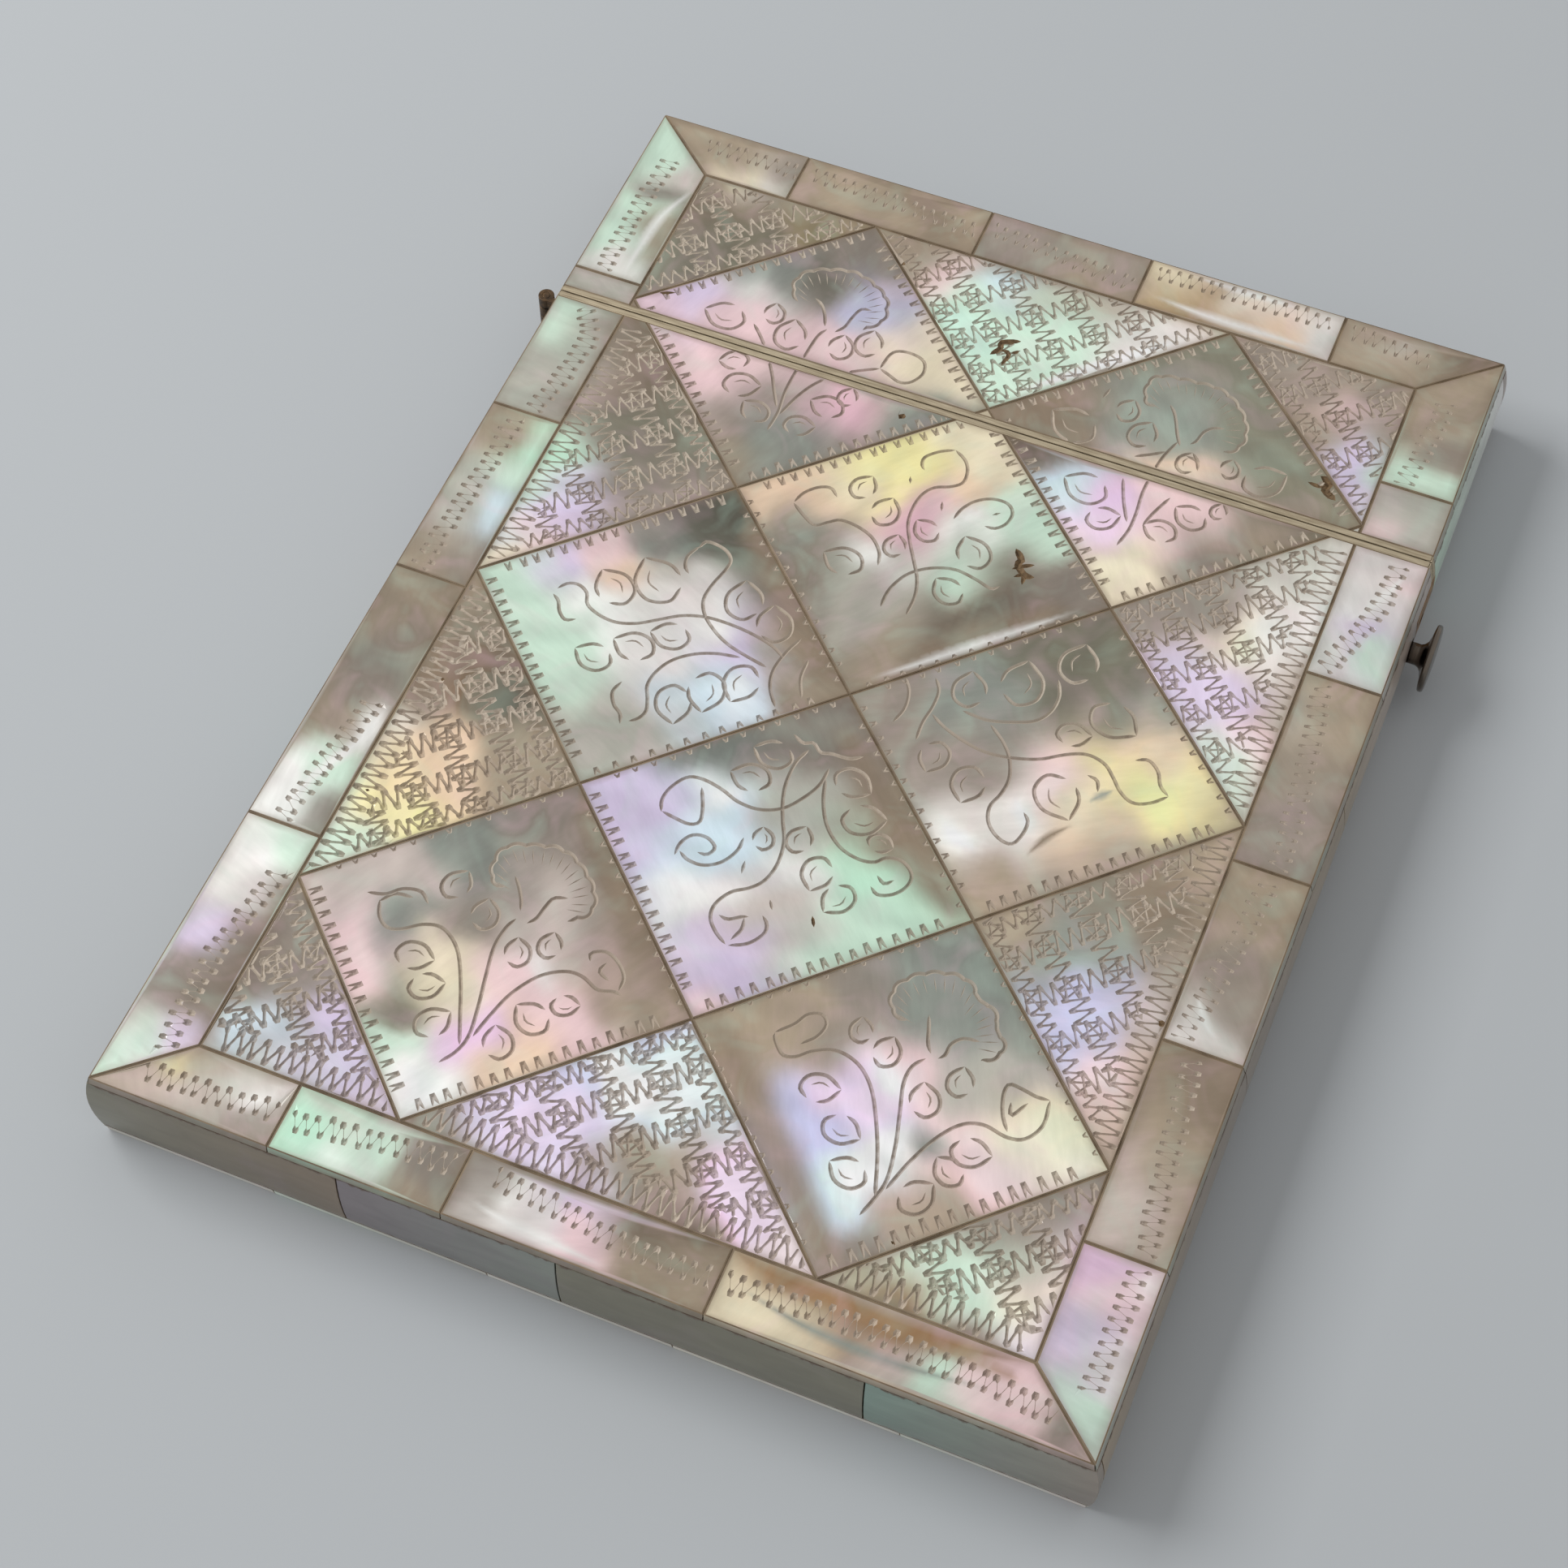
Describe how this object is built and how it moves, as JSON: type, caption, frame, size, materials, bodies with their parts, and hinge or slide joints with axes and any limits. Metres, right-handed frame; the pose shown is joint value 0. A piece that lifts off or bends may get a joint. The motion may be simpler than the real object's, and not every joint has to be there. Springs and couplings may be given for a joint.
{
  "type": "card case",
  "caption": "Flat hinged card case veneered in engraved mother-of-pearl, with a swinging lid, a push-button spring catch and a lined card pocket.",
  "frame": {"origin": "centre of the back face of the closed case, which it lies on", "axes": "+X towards the push button, +Y towards the lid's top end, +Z out of the front face"},
  "size_m": [0.0828, 0.1064, 0.0082],
  "materials": {
    "shell_lozenge": "polished",
    "shell_triangle": "polished",
    "shell_border": "polished",
    "shell_edge": "polished",
    "carcass_wood": "matte",
    "lining_silk": "satin",
    "rim_metal": "satin",
    "fittings_brass": "satin",
    "catch_steel": "polished"
  },
  "bodies": {
    "body": {"body_front_board": "carcass_wood", "body_back_board": "carcass_wood", "body_left_board": "carcass_wood", "body_right_board": "carcass_wood", "body_bottom_board": "carcass_wood", "liner_front": "lining_silk", "liner_back": "lining_silk", "liner_left": "lining_silk", "liner_right": "lining_silk", "liner_floor": "lining_silk", "body_rim": "rim_metal", "body_left_side_veneer": "shell_edge", "body_right_side_veneer": "shell_edge", "body_end_veneer": "shell_edge", "body_front_left_border": "shell_border", "body_front_right_border": "shell_border", "body_front_bottom_border": "shell_border", "front_lozenge_upper_left": "shell_lozenge", "front_lozenge_upper_right": "shell_lozenge", "front_lozenge_upper_middle": "shell_lozenge", "front_lozenge_middle_left": "shell_lozenge", "front_lozenge_middle_right": "shell_lozenge", "front_lozenge_lower_middle": "shell_lozenge", "front_lozenge_lower_left": "shell_lozenge", "front_lozenge_lower_right": "shell_lozenge", "body_front_triangles": "shell_triangle", "body_back_border": "shell_border", "body_back_lozenges": "shell_lozenge", "body_back_triangles": "shell_triangle", "body_hinge_leaf": "fittings_brass", "hinge_pin": "fittings_brass", "body_hinge_rivets": "fittings_brass", "catch_spring_rivet": "fittings_brass"},
    "lid": {"lid_front_board": "carcass_wood", "lid_back_board": "carcass_wood", "lid_left_board": "carcass_wood", "lid_right_board": "carcass_wood", "lid_top_board": "carcass_wood", "lid_lining": "lining_silk", "lid_rim": "rim_metal", "lid_left_side_veneer": "shell_edge", "lid_right_side_veneer": "shell_edge", "lid_end_veneer": "shell_edge", "lid_front_left_border": "shell_border", "lid_front_right_border": "shell_border", "lid_front_top_border": "shell_border", "lid_front_lozenges": "shell_lozenge", "lid_front_triangles": "shell_triangle", "lid_back_border": "shell_border", "lid_back_lozenges": "shell_lozenge", "lid_back_triangles": "shell_triangle", "lid_hinge_leaf": "fittings_brass", "lid_hinge_rivets": "fittings_brass", "catch_tongue": "fittings_brass", "tongue_rivets": "fittings_brass"},
    "catch": {"catch_spring": "catch_steel", "catch_nib": "catch_steel", "push_button": "catch_steel"}
  },
  "joints": [
    {"name": "lid_hinge", "type": "hinge", "parent": "body", "child": "lid", "pos_m": [-0.04045, 0.03015, 0.0041], "axis": [0, 0, 1], "range_deg": [0, 105]},
    {"name": "button_press", "type": "hinge", "parent": "body", "child": "catch", "pos_m": [0.03645, 0.007, 0.0041], "axis": [0, 0, 1], "range_deg": [-1.4, 1.4], "stiffness_Nm_per_rad": 0.3, "springref_deg": -1.72}
  ]
}
